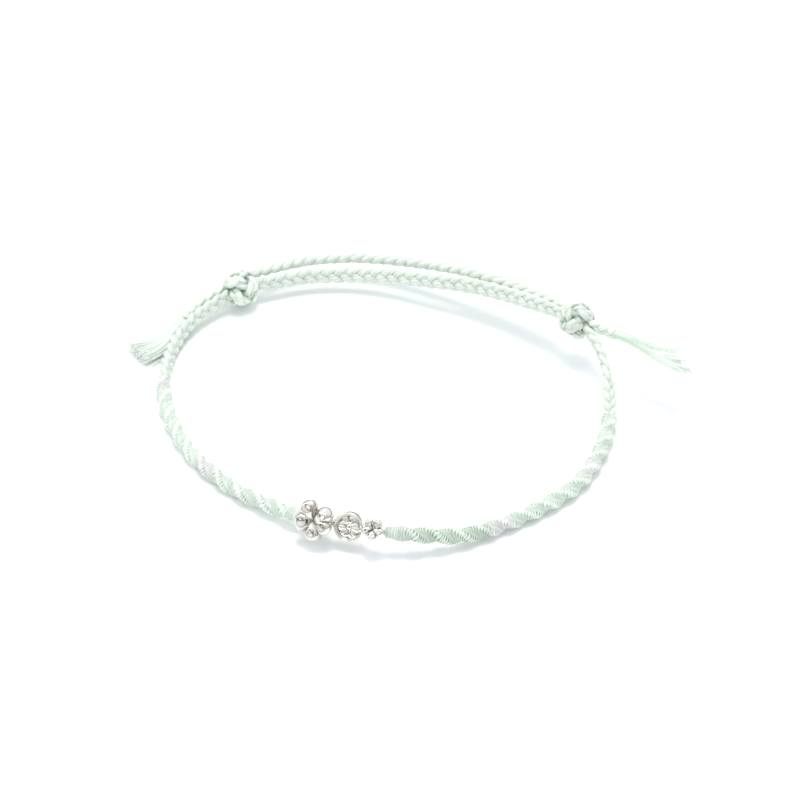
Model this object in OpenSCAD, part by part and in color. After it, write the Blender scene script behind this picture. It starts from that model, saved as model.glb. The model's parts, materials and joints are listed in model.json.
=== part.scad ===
// Adjustable wish bracelet: a knotted silk cord with three small silver beads in front, two braids
// that run side by side at the back, and two sliding knots with a tassel each.
// Millimetres. +Z is up from the surface that it lies on, the beads are at -Y, and the origin is on
// that surface, under the middle of the outline.

/* [Knotted cord] */
// Distance of each of the two twisted lobes from the cord's middle
lobe_offset = 0.36; // [0.24:0.02:0.4]
// Radius of each lobe
lobe_r = 0.7; // [0.6:0.02:0.74]
// Radius of the cord where it is wrapped plainly, at its ends
plain_r = 0.72; // [0.62:0.02:0.8]
// Length of one full twist on the left side
left_twist = 7.4; // [6:0.2:9]
// Length of one full twist on the right side
right_twist = 6.4; // [5:0.2:8]
// Radius of the thread that carries the beads
core_r = 0.34; // [0.3:0.02:0.36]

/* [Braid] */
// Radius of each of the three strands
strand_r = 0.45; // [0.4:0.01:0.48]
// How far the strands swing to the sides
plait_side = 0.55; // [0.45:0.01:0.6]
// How far the strands swing in depth
plait_depth = 0.22; // [0.16:0.01:0.26]
// Length in which a strand goes across and comes back
plait_pitch = 5.1; // [4.5:0.1:6]

/* [Beads] */
// Length of a flower petal, from the flower's middle
petal_l = 2.7; // [2.4:0.05:2.9]
// Radius of a flower petal at its fullest
petal_r = 0.94; // [0.7:0.02:0.98]
// Radius of a flower petal at its root
petal_root_r = 0.5; // [0.3:0.02:0.56]
// Diameter of the medallion
medal_d = 3.8; // [3.4:0.1:4]
// Thickness of the medallion at its rim
medal_t = 1.6; // [1.5:0.1:1.8]
// Length of a point of the star, from its middle
star_l = 1.45; // [1.2:0.05:1.5]
// Radius of a point of the star near its tip
star_r = 0.5; // [0.4:0.02:0.52]
// Radius of a point of the star at its root
star_root_r = 0.38; // [0.24:0.02:0.4]
// Radius of the beads' bores
bore_r = 0.4; // [0.38:0.01:0.44]

/* [Knots] */
// Diameter of the left sliding knot
left_knot_d = 5.4; // [5:0.1:5.6]
// Diameter of the right sliding knot
right_knot_d = 5.2; // [5:0.1:5.6]
// Width of the strap that is woven round a knot
strap_w = 1.7; // [1:0.1:1.8]

/* [Tassels] */
// Width of the left tassel at its cut end
left_tassel_w = 4.0; // [2.8:0.1:4.2]
// Width of the right tassel at its tips
right_tassel_w = 5.0; // [3:0.2:5.2]

/* [Hidden] */

// From the wrist hollow's own middle, where the routes are measured, to the middle of the outline
middle = [-2.3, -2.1, 0];
// Clearance between pieces that are threaded through each other or meet end to end
gap = 0.05;
channel_gap = 0.2;
mint = [0.80, 0.92, 0.83];
blush = [0.93, 0.86, 0.86];
silver = [0.78, 0.77, 0.75];

// The cord's route, [x, y, z] of its middle: the whole bracelet is one run of cord
ROUTE = [
    // front braid, from its end in the right knot to the left knot
    [23.7, 12.8, 7.1], [22.2, 14.6, 6.7], [20.6, 16.4, 6.3], [16.4, 20.0, 5.6], [11.1, 23.5, 4.8],
    [5.7, 26.1, 3.9], [0.5, 28.3, 3.1], [-5.2, 29.6, 2.5], [-10.9, 29.4, 2.4], [-16.2, 27.7, 2.5],
    // through the left knot and down the left side to the beads
    [-20.3, 25.6, 2.7], [-24.2, 22.4, 2.1], [-27.0, 18.5, 1.7], [-28.8, 13.8, 1.2], [-29.5, 8.2, 1.1],
    [-29.1, 2.2, 1.1], [-27.3, -4.4, 1.1], [-24.3, -10.6, 1.1], [-19.6, -16.5, 1.1], [-14.4, -20.9, 1.5],
    [-10.2, -23.9, 2.2], [-4.8, -26.5, 2.8], [0.0, -28.1, 3.1],
    // right side, from the beads up to the right knot
    [4.3, -28.1, 2.6], [9.0, -26.9, 1.6], [14.0, -24.2, 1.1], [19.5, -20.3, 1.1], [23.8, -15.9, 1.1],
    [26.8, -9.7, 1.1], [28.4, -3.6, 1.3], [28.8, 1.6, 2.4], [28.4, 6.0, 4.1], [27.1, 9.4, 5.6],
    // through the right knot and over to the left knot again
    [25.2, 13.1, 6.3], [21.9, 17.6, 6.2], [17.8, 21.1, 6.0], [12.7, 24.7, 5.7], [7.1, 28.2, 4.8],
    [1.0, 31.2, 3.8], [-5.3, 32.8, 3.2], [-11.0, 32.5, 2.9], [-14.4, 31.1, 3.0], [-17.0, 29.3, 3.4],
    [-19.5, 26.9, 4.1]];

// The tails, from their knots to their tassels
LEFT_TAIL = [[-21.7, 26.3, 2.7], [-24.1, 24.6, 2.2], [-26.2, 22.6, 1.7], [-27.7, 20.3, 1.3]];
RIGHT_TAIL = [[26.8, 11.7, 6.6], [28.2, 10.3, 6.8], [29.9, 8.7, 7.0]];
// The middle of each tassel, from the end of its tail to its tips
LEFT_TASSEL = [[-27.8, 20.3, 1.3], [-29.7, 17.3, 1.0], [-31.2, 14.7, 0.8], [-33.9, 12.9, 0.7]];
RIGHT_TASSEL = [[29.9, 8.7, 7.0], [31.9, 6.9, 7.2], [34.1, 4.7, 7.3], [36.8, 2.9, 7.4], [39.6, 2.2, 7.5]];

// Where each stretch starts and ends, as lengths along the route
left_back_s = 72.8;
left_blush_back_l = 2.6;
left_blush_front_s = 91.6;
left_blush_front_l = 3.6;
left_wrap_end_s = 110.6;
right_wrap_start_s = 121.2;
right_blush_front_s = 134.6;
right_blush_front_l = 3.5;
right_blush_back_s = 150.8;
right_blush_back_l = 3.4;
right_end_s = 164.0;
left_knot_s = 50.2;
right_knot_s = 180.9;
flower_s = 112.6;
medal_s = 116.6;
star_s = 119.9;

// Places of the beads' faces: how far in front of the thread, how far they look up and to the side
flower_front = 1.45;
flower_tilt = 32;
medal_tilt = 24;
medal_turn = 5;
star_front = 0.85;
star_tilt = 42;

// Fineness of the swept shapes
route_steps = 12;
rope_sides = 14;
rope_step = 0.62;
braid_sides = 12;
braid_step = 0.52;
channel_sides = 12;
channel_step = 1.2;
fade_l = 2.4;

// Turn of the two lobes where the lengths along the route start
left_phase = -52;
right_phase = -16;

// Point at share t between b and c on the smooth curve through a, b, c and d
function smooth_point(a, b, c, d, t) =
    0.5 * (2 * b + (c - a) * t + (2 * a - 5 * b + 4 * c - d) * t * t + (3 * b - a - 3 * c + d) * t * t * t);

// The curve through a list of points, cut finely
function smooth_route(p, n) = let (last = len(p) - 1) [
    for (i = [0:last - 1], k = [0:n - 1])
        smooth_point(p[max(i - 1, 0)], p[i], p[i + 1], p[min(i + 2, last)], k / n),
    p[last]];

// Length of the curve up to each of its points
function lengths(p) = let (last = len(p) - 1)
    [for (i = 0, s = 0; i <= last; s = s + norm(p[min(i + 1, last)] - p[i]), i = i + 1) s];

// A curve as tables of x, y and z against length
function tables(p) = let (fine = smooth_route(p, route_steps), s = lengths(fine))
    [for (axis = [0:2]) [for (i = [0:len(fine) - 1]) [s[i], fine[i][axis]]]];

function at(run, s) = [for (axis = [0:2]) lookup(s, run[axis])];
function run_length(run) = run[0][len(run[0]) - 1][0];
function unit(v) = v / norm(v);
// Direction of the cord, sideways direction and upward direction at a length along it
function ahead(run, s) = unit(at(run, s + 0.3) - at(run, s - 0.3));
function sideways(run, s) = unit(cross([0, 0, 1], ahead(run, s)));
function upward(run, s) = cross(ahead(run, s), sideways(run, s));

main_run = tables(ROUTE);
main_l = run_length(main_run);
left_tail_run = tables(LEFT_TAIL);
right_tail_run = tables(RIGHT_TAIL);
left_tassel_run = tables(LEFT_TASSEL);
right_tassel_run = tables(RIGHT_TASSEL);

// Reach of a circle of radius r at c, from the middle, in the direction u
function reach(c, r, u) = let (along = c * u, inside = r * r - c * c + along * along)
    inside > 0 ? along + sqrt(inside) : 0;

// Two lobes that wind round each other, which fade to a plain round cord where fade is 0
function rope_reach(angle, turn, fade) =
    let (u = [cos(angle), sin(angle)], c = lobe_offset * fade * [cos(turn), sin(turn)],
        r = lobe_r * fade + plain_r * (1 - fade))
    max(reach(c, r, u), reach(-c, r, u));

// Three plaited strands: each swings from side to side, and over and under twice as fast
function plait_centre(s, k, roll, share) =
    let (t = 360 * s / plait_pitch + 120 * k, x = plait_side * sin(t), y = plait_depth * sin(2 * t))
    share * [x * cos(roll) - y * sin(roll), x * sin(roll) + y * cos(roll)];
function plait_reach(angle, s, roll, share) = let (u = [cos(angle), sin(angle)])
    max([for (k = [0:2]) reach(plait_centre(s, k, roll, share), strand_r * share, u)]);

// A closed skin over a stack of rings with equal counts of points
module skin(rings) {
    n = len(rings[0]);
    last = len(rings) - 1;
    points = [for (ring = rings) for (p = ring) p];
    sides = [for (j = [0:last - 1], i = [0:n - 1]) let (a = j * n + i, b = j * n + (i + 1) % n)
        each [[a, a + n, b], [b, a + n, b + n]]];
    polyhedron(points, concat([[for (i = [0:n - 1]) i]], sides, [[for (i = [0:n - 1]) last * n + n - 1 - i]]));
}

// The ring of points round a run at length s, from a list of reaches
function ring(run, s, reaches) =
    let (p = at(run, s), side = sideways(run, s), up = upward(run, s), n = len(reaches))
    [for (i = [0:n - 1]) let (angle = 360 * i / n) p + reaches[i] * (cos(angle) * side + sin(angle) * up)];

function stations(from, to, step) = let (n = max(2, ceil((to - from) / step)))
    [for (j = [0:n]) from + (to - from) * j / n];

// How far the knotted cord's lobes have grown at a length, 0 at its plain ends and 1 between them
function growth(s, from, to) = max(0, min(1, (s - from) / fade_l, (to - s) / fade_l));

// A stretch of knotted cord on the side that runs from start to end
module knotted(from, to, start, end, twist, phase) {
    skin([for (s = stations(from + gap / 2, to - gap / 2, rope_step))
        ring(main_run, s, [for (i = [0:rope_sides - 1])
            rope_reach(360 * i / rope_sides, 360 * s / twist + phase, growth(s, start, end))])]);
}
module knotted_left(from, to)
    knotted(from, to, left_back_s - fade_l, left_wrap_end_s, left_twist, left_phase);
module knotted_right(from, to)
    knotted(from, to, right_wrap_start_s, right_end_s + fade_l, right_twist, right_phase);

// How far the braid's flat face is rolled from level, along the route
function roll_at(s) = lookup(s, [[0, 126], [left_back_s, 118], [right_end_s, 15], [right_end_s + 4.5, 20],
    [right_end_s + 8, 90], [right_knot_s - 3, 90], [right_knot_s + 9, 36], [main_l - 8, 36], [main_l, 60]]);
// How full the braid is: thinner where a knot grips it and beside the right knot
function fullness_at(s) = lookup(s, [[0, 0.8], [2.5, 0.85], [6, 1.08], [left_knot_s - 6, 1.06],
    [left_knot_s - 2, 0.86], [left_knot_s + 2, 0.86], [left_knot_s + 5, 0.92], [left_back_s - 3, 0.92],
    [left_back_s, 0.8], [right_end_s, 0.85], [right_end_s + 2, 0.95], [right_end_s + 5, 0.9],
    [right_end_s + 8, 0.78], [right_knot_s + 3, 0.8], [right_knot_s + 6, 1], [main_l - 5, 1],
    [main_l - 2, 0.8], [main_l, 0.75]]);

// A stretch of braid along the route
module braid(from, to) {
    skin([for (s = stations(from, to, braid_step))
        ring(main_run, s, [for (i = [0:braid_sides - 1])
            plait_reach(360 * i / braid_sides, s, roll_at(s), fullness_at(s))])]);
}

// A short braid along a tail, its flat face upright
tail_roll = 90;
tail_share = 0.9;
module tail_braid(run) {
    skin([for (s = stations(0.3, run_length(run) - gap, braid_step))
        ring(run, s, [for (i = [0:braid_sides - 1])
            plait_reach(360 * i / braid_sides, s, tail_roll, tail_share)])]);
}

// Oval channel that a braid leaves in a knot, wider than the braid by channel_gap all round
function oval_reach(angle, share) = let (a = (plait_side + strand_r) * share + channel_gap,
        b = (plait_depth + strand_r) * share + channel_gap)
    1 / norm([cos(angle) / a, sin(angle) / b]);
module channel(from, to) {
    skin([for (s = stations(from, to, channel_step))
        ring(main_run, s, [for (i = [0:channel_sides - 1])
            oval_reach(360 * i / channel_sides - roll_at(s), fullness_at(s))])]);
}
module tail_channel(run) {
    skin([for (s = stations(0.2, 2.5, channel_step))
        ring(run, s, [for (i = [0:channel_sides - 1])
            oval_reach(360 * i / channel_sides - tail_roll, tail_share)])]);
}

// Places its children on the thread at s, facing out of the loop, tilted up and moved forward:
// x runs along the thread, y is up on the face and z looks out of it
module on_thread(s, tilt, front) {
    x = ahead(main_run, s);
    z = -cos(tilt) * sideways(main_run, s) + sin(tilt) * upward(main_run, s);
    y = cross(z, x);
    p = at(main_run, s) + front * z;
    multmatrix([[x[0], y[0], z[0], p[0]], [x[1], y[1], z[1], p[1]], [x[2], y[2], z[2], p[2]]])
        children();
}

// A drop with its thin end at the middle: long and r wide, round at the far end
module drop(long, r, root_r, $fn = 24) {
    rotate([0, 90, 0])
        rotate_extrude()
            polygon(concat([[0, 0.1], [root_r, 0.1]],
                [for (a = [-20:10:90]) [r * cos(a), long - r + r * sin(a)]], [[0, long]]));
}

// A plain tube on the thread, with the bore that every bead has
module bead_tube(l, r) rotate([0, 90, 0]) cylinder(h = l, r = r, center = true, $fn = 32);
module bead_bore(l) rotate([0, 90, 0]) cylinder(h = l, r = bore_r, center = true, $fn = 32);

// Flower bead: five rounded petals on a short tube behind them. Columns: angle, length share, width share
PETALS = [[130, 1, 1], [37, 0.98, 0.98], [-24, 0.9, 0.95], [-82, 0.95, 0.98], [194, 0.98, 1.02]];
tube_l = 2.4;
module flower_bead() color(silver) translate(middle)
    difference() {
        union() {
            on_thread(flower_s, flower_tilt, flower_front)
                for (p = PETALS)
                    rotate([0, 0, p[0]]) rotate([0, -4, 0]) drop(petal_l * p[1], petal_r * p[2], petal_root_r);
            on_thread(flower_s, flower_tilt, flower_front) sphere(r = 0.62, $fn = 24);
            on_thread(flower_s, flower_tilt, 0) bead_tube(tube_l, 0.76);
            on_thread(flower_s, flower_tilt, flower_front / 2)
                cylinder(h = 0.9, r = 0.5, center = true, $fn = 24);
        }
        on_thread(flower_s, flower_tilt, 0) bead_bore(tube_l + 1);
    }

// Medallion bead: a coin with a raised rim and a rosette on each face, and a collar at each side
rim_w = 0.34;
face_drop = 0.17;
collar_l = 0.6;
rosette_n = 8;
module coin() {
    cylinder(h = medal_t - 2 * face_drop, d = medal_d - 0.2, center = true, $fn = 48);
    rotate_extrude($fn = 48)
        translate([medal_d / 2 - rim_w / 2, 0])
            polygon([for (a = [0:30:330])
                [rim_w / 2 * cos(a), (medal_t / 2) * sin(a) * (abs(sin(a)) > 0.9 ? 1 : 0.92)]]);
    for (face = [-1, 1]) {
        translate([0, 0, face * (medal_t / 2 - face_drop)]) sphere(r = 0.3, $fn = 18);
        for (i = [0:rosette_n - 1])
            rotate([0, 0, 360 / rosette_n * i])
                translate([0.85, 0, face * (medal_t / 2 - face_drop - 0.06)]) sphere(r = 0.28, $fn = 16);
    }
}
module medallion_bead() color(silver) translate(middle)
    on_thread(medal_s, medal_tilt, 0)
        difference() {
            union() {
                rotate([0, medal_turn, 0]) coin();
                for (side = [-1, 1])
                    translate([side * (medal_d / 2 + 0.2 - collar_l / 2), 0, 0]) bead_tube(collar_l, 0.62);
            }
            bead_bore(medal_d + 2);
        }

// Star bead: five small points in front of a short tube
star_tube_l = 1.5;
module star_bead() color(silver) translate(middle)
    difference() {
        union() {
            on_thread(star_s, star_tilt, star_front)
                for (i = [0:4]) rotate([0, 0, 56 + 72 * i]) rotate([0, -8, 0]) drop(star_l, star_r, star_root_r);
            on_thread(star_s, star_tilt, star_front) sphere(r = 0.42, $fn = 20);
            on_thread(star_s, star_tilt, 0) bead_tube(star_tube_l, 0.7);
        }
        on_thread(star_s, star_tilt, 0) bead_bore(star_tube_l + 1);
    }

// The thread that the three beads ride on, between the knotted cord's two ends
module bead_cord() color(mint) translate(middle)
    skin([for (s = stations(left_wrap_end_s + gap / 2, right_wrap_start_s - gap / 2, 0.8))
        ring(main_run, s, [for (i = [0:7]) core_r])]);

module knotted_left_front() color(mint) translate(middle)
    knotted_left(left_blush_front_s + left_blush_front_l, left_wrap_end_s);
module blush_band_left_front() color(blush) translate(middle)
    knotted_left(left_blush_front_s, left_blush_front_s + left_blush_front_l);
module knotted_left_back() color(mint) translate(middle)
    knotted_left(left_back_s + left_blush_back_l, left_blush_front_s);
module blush_band_left_back() color(blush) translate(middle)
    knotted_left(left_back_s, left_back_s + left_blush_back_l);
module knotted_right_front() color(mint) translate(middle)
    knotted_right(right_wrap_start_s, right_blush_front_s);
module blush_band_right_front() color(blush) translate(middle)
    knotted_right(right_blush_front_s, right_blush_front_s + right_blush_front_l);
module knotted_right_back() color(mint) translate(middle)
    knotted_right(right_blush_front_s + right_blush_front_l, right_blush_back_s);
module blush_band_right_back() color(blush) translate(middle)
    knotted_right(right_blush_back_s, right_blush_back_s + right_blush_back_l);
module knotted_right_end() color(mint) translate(middle)
    knotted_right(right_blush_back_s + right_blush_back_l, right_end_s);

// Each braid ends inside the knot that is tied in it
module braid_left() color(mint) translate(middle) braid(0.3, left_back_s - gap / 2);
module braid_right() color(mint) translate(middle) braid(right_end_s + gap / 2, main_l - 0.3);

// The ball of a sliding knot is a three-strand plait closed into a ring round a ball: the strand goes
// round three times and swings bights times from pole to pole
knot_bights = 4;
strap_swing = 40;
knot_sides = 30;
knot_rings = 14;
knot_pole = 80;
function knot_reach(r, az, lat) = let (half = strap_w / 2 / r * 180 / PI)
    r - 0.75 + max([for (k = [0:2]) let (t = knot_bights * (az + 360 * k) / 3,
            off = (lat - strap_swing * sin(t)) / half)
        abs(off) < 1 ? 0.22 + 0.2 * sin(2 * t) + 0.33 * sqrt(1 - off * off) : 0]);

// A knot's ball, its poles on the cord that it slides on, moved across and up from the cord's middle
module knot_ball(d, s, across, lift) {
    x = sideways(main_run, s);
    y = upward(main_run, s);
    z = ahead(main_run, s);
    p = at(main_run, s) + across * x + lift * y;
    skin([for (j = [0:knot_rings]) let (lat = knot_pole * (2 * j / knot_rings - 1))
        [for (i = [0:knot_sides - 1]) let (az = 360 * i / knot_sides, r = knot_reach(d / 2, az, lat))
            p + r * (cos(lat) * (cos(az) * x + sin(az) * y) + sin(lat) * z)]]);
}

// Left knot: tied in the end of the back braid, it slides on the front one
module knot_left() color(mint) translate(middle)
    difference() {
        knot_ball(left_knot_d, left_knot_s, -0.1, 0.1);
        channel(left_knot_s - 4, left_knot_s + 4);
        channel(main_l - 4, main_l - 0.2);
        tail_channel(left_tail_run);
    }

// Right knot: tied in the end of the front braid, it slides on the back one
module knot_right() color(mint) translate(middle)
    difference() {
        knot_ball(right_knot_d, right_knot_s, 0.1, 0);
        channel(right_knot_s - 4, right_knot_s + 4);
        channel(0.2, 4);
        tail_channel(right_tail_run);
    }

module tail_braid_left() color(mint) translate(middle) tail_braid(left_tail_run);
module tail_braid_right() color(mint) translate(middle) tail_braid(right_tail_run);

// Locks of a tassel. Columns: place across the tips from -1 to 1, lift of the tip, share of the length
LEFT_LOCKS = [[-0.95, 0.1, 1], [-0.55, 0.5, 1], [-0.15, -0.2, 0.99], [0.2, 0.5, 0.99], [0.58, 0, 0.98],
    [0.95, 0.2, 0.97]];
RIGHT_LOCKS = [[-0.95, -1.1, 0.96], [-0.7, -0.7, 1], [-0.4, -0.3, 0.88], [0.05, 0.4, 0.97], [0.45, 0.4, 0.88],
    [0.85, 0.9, 0.97]];

// One lock: leaves the head side by side with the others and spreads towards its own tip, the later
// the higher fan is
function lock_middle(run, s, l, width, place, lift, fan) = let (t = s / l, spread = pow(t, fan))
    at(run, s) + (0.3 * place + (width / 2 - 0.3) * place * spread) * sideways(run, s)
        + lift * spread * upward(run, s);
module lock(run, width, place, lift, share, fan, root_r, tip_r) {
    l = run_length(run);
    rings = 6;
    skin([for (j = [0:rings]) let (s = l * share * (0.05 + 0.95 * j / rings),
            p = lock_middle(run, s, l, width, place, lift, fan), side = sideways(run, s), up = upward(run, s),
            r = root_r + (tip_r - root_r) * j / rings)
        [for (a = [0:60:300]) p + r * (cos(a) * side + sin(a) * up)]]);
}
module tassel(run, width, locks, fan, head_r, root_r, tip_r) {
    l = run_length(run);
    for (k = locks) lock(run, width, k[0], k[1], k[2], fan, root_r, tip_r);
    // the head, where the strands leave the braid
    skin([for (j = [0:5]) let (s = 0.25 + l * 0.26 * j / 5)
        ring(run, s, [for (i = [0:9]) head_r - 0.06 * j])]);
}
module tassel_left() color(mint) translate(middle)
    tassel(left_tassel_run, left_tassel_w, LEFT_LOCKS, 1.2, 0.7, 0.42, 0.42);
module tassel_right() color(mint) translate(middle)
    tassel(right_tassel_run, right_tassel_w, RIGHT_LOCKS, 3, 0.58, 0.32, 0.16);

flower_bead();
medallion_bead();
star_bead();
bead_cord();
knotted_left_front();
blush_band_left_front();
knotted_left_back();
blush_band_left_back();
knotted_right_front();
blush_band_right_front();
knotted_right_back();
blush_band_right_back();
knotted_right_end();
braid_left();
braid_right();
knot_left();
knot_right();
tail_braid_left();
tail_braid_right();
tassel_left();
tassel_right();
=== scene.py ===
"""Adjustable wish bracelet: knotted silk cord, two braids, two sliding knots, tassels and silver beads.

Every shape is worked out in millimetres round the cord's own route and is put into its mesh in metres.
"""
import json
import math

import bpy
import numpy as np
from bpy.props import FloatProperty, FloatVectorProperty, IntProperty, PointerProperty
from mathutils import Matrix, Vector

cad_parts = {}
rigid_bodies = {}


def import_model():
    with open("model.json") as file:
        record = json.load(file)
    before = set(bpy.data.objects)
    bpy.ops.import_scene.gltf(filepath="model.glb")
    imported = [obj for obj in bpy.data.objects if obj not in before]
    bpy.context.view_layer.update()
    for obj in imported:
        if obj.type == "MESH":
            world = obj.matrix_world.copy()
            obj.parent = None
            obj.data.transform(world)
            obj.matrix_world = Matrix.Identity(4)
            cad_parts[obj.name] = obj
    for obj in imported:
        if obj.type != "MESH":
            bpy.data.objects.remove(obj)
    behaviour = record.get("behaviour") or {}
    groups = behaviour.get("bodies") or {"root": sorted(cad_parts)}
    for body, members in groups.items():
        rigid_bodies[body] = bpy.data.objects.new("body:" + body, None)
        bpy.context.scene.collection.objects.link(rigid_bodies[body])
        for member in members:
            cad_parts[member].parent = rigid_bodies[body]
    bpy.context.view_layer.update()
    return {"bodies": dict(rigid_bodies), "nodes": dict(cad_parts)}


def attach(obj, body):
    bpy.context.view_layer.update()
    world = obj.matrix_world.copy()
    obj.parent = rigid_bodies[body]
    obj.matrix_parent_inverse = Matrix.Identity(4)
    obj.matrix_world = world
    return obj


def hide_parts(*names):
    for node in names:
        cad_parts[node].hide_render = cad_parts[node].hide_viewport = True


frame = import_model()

bl_info = {
    "name": "Wish bracelet",
    "version": (1, 0, 0),
    "blender": (4, 5, 0),
    "location": "3D View > Sidebar > Bracelet",
    "description": "Dresses a wish bracelet in silk threads, cast silver beads and loose tassels",
    "category": "Object",
}

MM = 0.001
TAU = 2 * math.pi
# From the wrist hollow's middle, where the routes are measured, to the middle of the outline
MIDDLE = np.array([-2.3, -2.1, 0.0])

# The cord's route, [x, y, z] of its middle in millimetres: the whole bracelet is one run of cord
ROUTE = [
    # left braid, from its end in the right knot to the left knot
    [23.7, 12.8, 7.1], [22.2, 14.6, 6.7], [20.6, 16.4, 6.3], [16.4, 20.0, 5.6], [11.1, 23.5, 4.8],
    [5.7, 26.1, 3.9], [0.5, 28.3, 3.1], [-5.2, 29.6, 2.5], [-10.9, 29.4, 2.4], [-16.2, 27.7, 2.5],
    # through the left knot and down the left side to the beads
    [-20.3, 25.6, 2.7], [-24.2, 22.4, 2.1], [-27.0, 18.5, 1.7], [-28.8, 13.8, 1.2], [-29.5, 8.2, 1.1],
    [-29.1, 2.2, 1.1], [-27.3, -4.4, 1.1], [-24.3, -10.6, 1.1], [-19.6, -16.5, 1.1], [-14.4, -20.9, 1.5],
    [-10.2, -23.9, 2.2], [-4.8, -26.5, 2.8], [0.0, -28.1, 3.1],
    # right side, from the beads up to the right knot
    [4.3, -28.1, 2.6], [9.0, -26.9, 1.6], [14.0, -24.2, 1.1], [19.5, -20.3, 1.1], [23.8, -15.9, 1.1],
    [26.8, -9.7, 1.1], [28.4, -3.6, 1.3], [28.8, 1.6, 2.4], [28.4, 6.0, 4.1], [27.1, 9.4, 5.6],
    # through the right knot and over to the left knot again
    [25.2, 13.1, 6.3], [21.9, 17.6, 6.2], [17.8, 21.1, 6.0], [12.7, 24.7, 5.7], [7.1, 28.2, 4.8],
    [1.0, 31.2, 3.8], [-5.3, 32.8, 3.2], [-11.0, 32.5, 2.9], [-14.4, 31.1, 3.0], [-17.0, 29.3, 3.4],
    [-19.5, 26.9, 4.1]]
LEFT_TAIL = [[-21.7, 26.3, 2.7], [-24.1, 24.6, 2.2], [-26.2, 22.6, 1.7], [-27.7, 20.3, 1.3]]
RIGHT_TAIL = [[26.8, 11.7, 6.6], [28.2, 10.3, 6.8], [29.9, 8.7, 7.0]]
LEFT_TASSEL = [[-27.8, 20.3, 1.3], [-29.7, 17.3, 1.0], [-31.2, 14.7, 0.8], [-33.9, 12.9, 0.7]]
RIGHT_TASSEL = [[29.9, 8.7, 7.0], [31.9, 6.9, 7.2], [34.1, 4.7, 7.3], [36.8, 2.9, 7.4], [39.6, 2.2, 7.5]]

# Where things are, in millimetres along the route
LEFT_BACK_S = 72.8
LEFT_WRAP_END_S = 110.6
RIGHT_WRAP_START_S = 121.2
RIGHT_END_S = 164.0
LEFT_KNOT_S = 50.2
RIGHT_KNOT_S = 180.9
FLOWER_S = 112.6
MEDAL_S = 116.6
STAR_S = 119.9
# Gap between two stretches, and how far a braid stays clear of its route's end inside a knot
GAP = 0.05
BRAID_END = 0.3


def unit(v):
    """Vectors of length one along the last axis."""
    return v / np.linalg.norm(v, axis=-1, keepdims=True)


def cord_table(rows, s):
    """Value at each length s, straight between the rows of (length, value)."""
    rows = np.array(rows, float)
    return np.interp(s, rows[:, 0], rows[:, 1])


class Run:
    """A route measured by its length: the curve that goes smoothly through all of its points.

    Between b and c, with neighbours a and d, the place at share t is half of
    2b + (c - a)t + (2a - 5b + 4c - d)t^2 + (3b - a - 3c + d)t^3.
    """

    STEPS = 48
    AHEAD = 0.3

    def __init__(self, points):
        p = np.array(points, float)
        last = len(p) - 1
        i = np.repeat(np.arange(last), self.STEPS)
        t = np.tile(np.arange(self.STEPS) / self.STEPS, last)[:, None]
        a, b, c, d = p[np.maximum(i - 1, 0)], p[i], p[i + 1], p[np.minimum(i + 2, last)]
        curve = 0.5 * (2 * b + (c - a) * t + (2 * a - 5 * b + 4 * c - d) * t**2
                       + (3 * b - a - 3 * c + d) * t**3)
        self.places = np.vstack([curve, p[-1:]])
        steps = np.linalg.norm(np.diff(self.places, axis=0), axis=1)
        self.lengths = np.concatenate([[0], np.cumsum(steps)])
        self.length = self.lengths[-1]

    def at(self, s):
        """Places at the lengths s."""
        return np.stack([np.interp(s, self.lengths, self.places[:, k]) for k in range(3)], axis=-1)

    def axes(self, s):
        """Directions ahead, to the side and up at the lengths s, which pass an end by less than AHEAD."""
        ahead = unit(self.at(s + self.AHEAD) - self.at(s - self.AHEAD))
        side = unit(np.cross([0.0, 0.0, 1.0], ahead))
        return ahead, side, np.cross(ahead, side)


MAIN = Run(ROUTE)
MAIN_L = MAIN.length

# How far the braid's flat face is rolled from level, in degrees, along the route
ROLL = [(0, 126), (LEFT_BACK_S, 118), (RIGHT_END_S, 15), (RIGHT_END_S + 4.5, 20), (RIGHT_END_S + 8, 90),
        (RIGHT_KNOT_S - 3, 90), (RIGHT_KNOT_S + 9, 36), (MAIN_L - 8, 36), (MAIN_L, 60)]
# How full the braid is: thinner where a knot grips it and beside the right knot
FULLNESS = [(0, 0.8), (2.5, 0.85), (6, 1.08), (LEFT_KNOT_S - 6, 1.06), (LEFT_KNOT_S - 2, 0.86),
            (LEFT_KNOT_S + 2, 0.86), (LEFT_KNOT_S + 5, 0.92), (LEFT_BACK_S - 3, 0.92), (LEFT_BACK_S, 0.8),
            (RIGHT_END_S, 0.85), (RIGHT_END_S + 2, 0.95), (RIGHT_END_S + 5, 0.9), (RIGHT_END_S + 8, 0.78),
            (RIGHT_KNOT_S + 3, 0.8), (RIGHT_KNOT_S + 6, 1), (MAIN_L - 5, 1), (MAIN_L - 2, 0.8),
            (MAIN_L, 0.75)]
# The tail braids keep one roll and one fullness
TAIL_ROLL = [(0, 90)]
TAIL_FULLNESS = [(0, 0.9)]


# Meshes


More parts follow.
